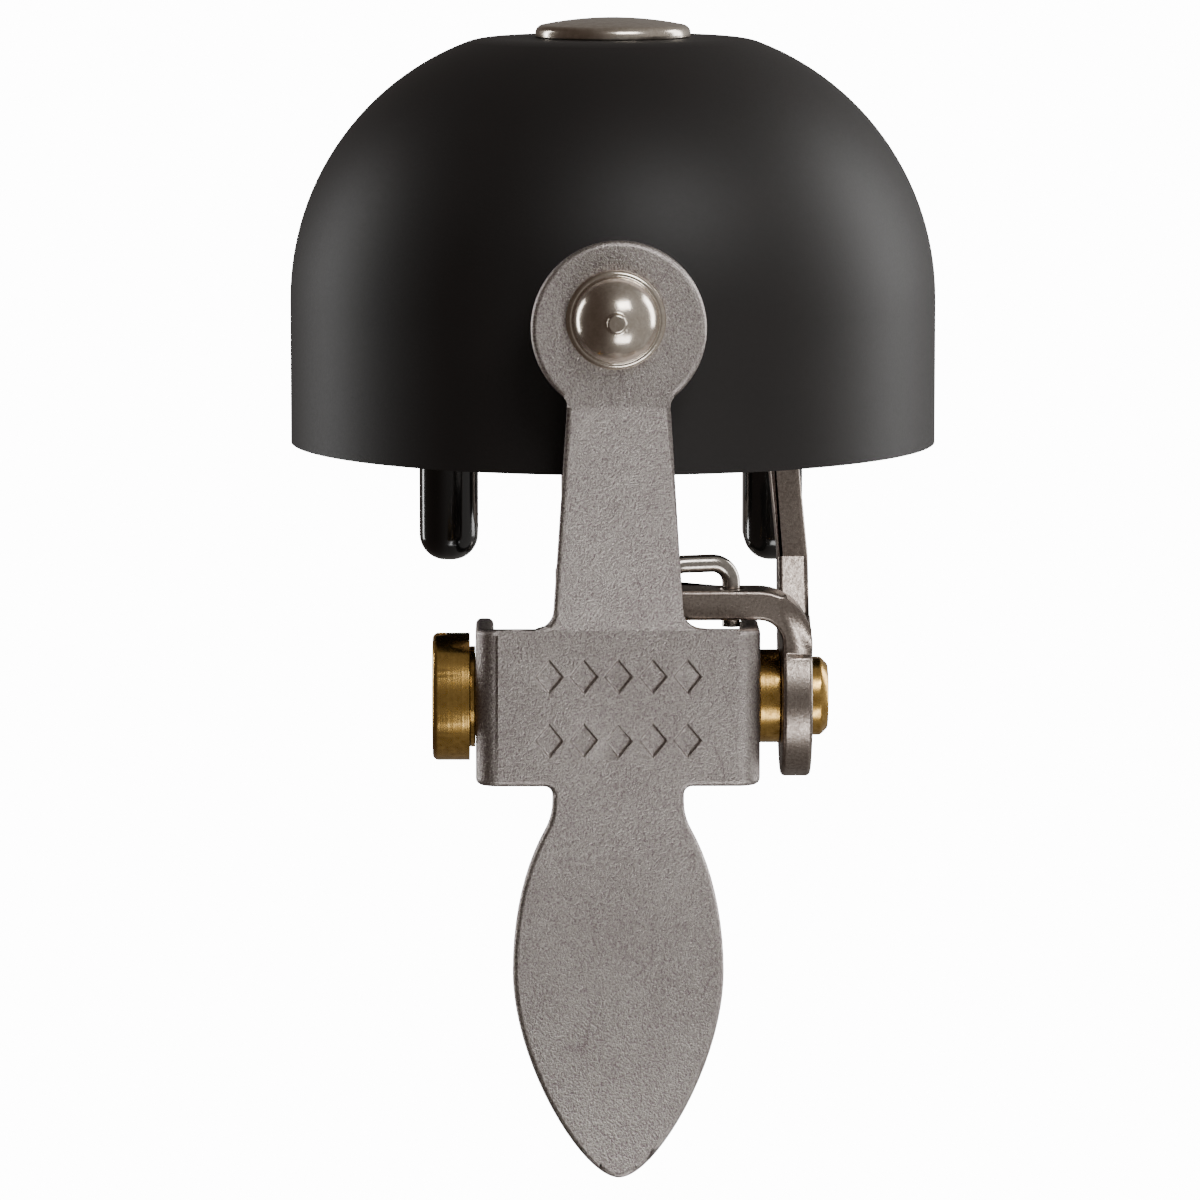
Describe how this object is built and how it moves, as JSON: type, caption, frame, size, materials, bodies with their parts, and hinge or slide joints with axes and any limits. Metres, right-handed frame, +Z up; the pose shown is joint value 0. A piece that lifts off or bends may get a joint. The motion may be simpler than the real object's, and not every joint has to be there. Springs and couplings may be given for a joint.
{
  "type": "bicycle bell",
  "caption": "Domed bicycle bell on a stamped bracket with a band clamp for the handlebar and a sprung thumb lever that swings a hammer against the dome.",
  "frame": {"origin": "on the handlebar's axis, under the middle of the dome", "axes": "+X along the handlebar, -Y towards the lever, +Z up through the dome's crown"},
  "size_m": [0.045, 0.053, 0.0759],
  "materials": {
    "black_dome": "matte black powder coat over spun brass",
    "nickel_plate": "bright nickel plate",
    "stainless_lever": "tumbled stainless sheet, finely speckled",
    "stainless_sheet": "tumbled stainless sheet",
    "steel_turned": "turned steel",
    "zinc_fixings": "bright zinc plate",
    "brass_turned": "satin turned brass",
    "spring_wire": "bright spring steel wire",
    "stainless_band": "rolled stainless strip",
    "black_rubber": "moulded black rubber",
    "fibre_washer": "black fibre",
    "black_vinyl": "glossy dipped vinyl"
  },
  "bodies": {
    "base": {"bracket": "stainless_sheet", "bell_dome": "black_dome", "crown_screw": "nickel_plate", "dome_washer": "fibre_washer", "dome_post": "steel_turned", "lock_washer": "zinc_fixings", "post_nut": "zinc_fixings", "left_foot_sleeve": "black_vinyl", "right_foot_sleeve": "black_vinyl", "shelf_pad": "black_rubber", "pivot_screw": "brass_turned", "head_washer": "brass_turned", "spacer_collar": "brass_turned", "return_spring": "spring_wire", "clamp_band": "stainless_band", "band_liner": "black_rubber", "band_rivets": "zinc_fixings", "clamp_nut": "zinc_fixings"},
    "lever": {"lever": "stainless_lever", "hammer": "steel_turned", "hammer_cap": "nickel_plate"},
    "clamp_washer": {"clamp_washer": "zinc_fixings"},
    "clamp_screw": {"clamp_screw": "steel_turned"}
  },
  "joints": [
    {"name": "lever_pivot", "type": "hinge", "parent": "base", "child": "lever", "pos_m": [0, -0.01868, 0.00192], "axis": [1, 0, 0], "range_deg": [-2, 30], "stiffness_Nm_per_rad": 0.12, "deforming": ["return_spring"]},
    {"name": "clamp_screw_travel", "type": "slide", "parent": "base", "child": "clamp_washer", "axis": [0, 0, -1], "range_m": [0, 0.0021]},
    {"name": "clamp_screw_turn", "type": "hinge", "parent": "clamp_washer", "child": "clamp_screw", "pos_m": [0, 0.0172, 0], "axis": [0, 0, -1], "range_deg": [0, 1080]}
  ],
  "couplings": [
    {"joint": "clamp_screw_turn", "follows": "clamp_screw_travel", "rad_per_m": 8976}
  ]
}
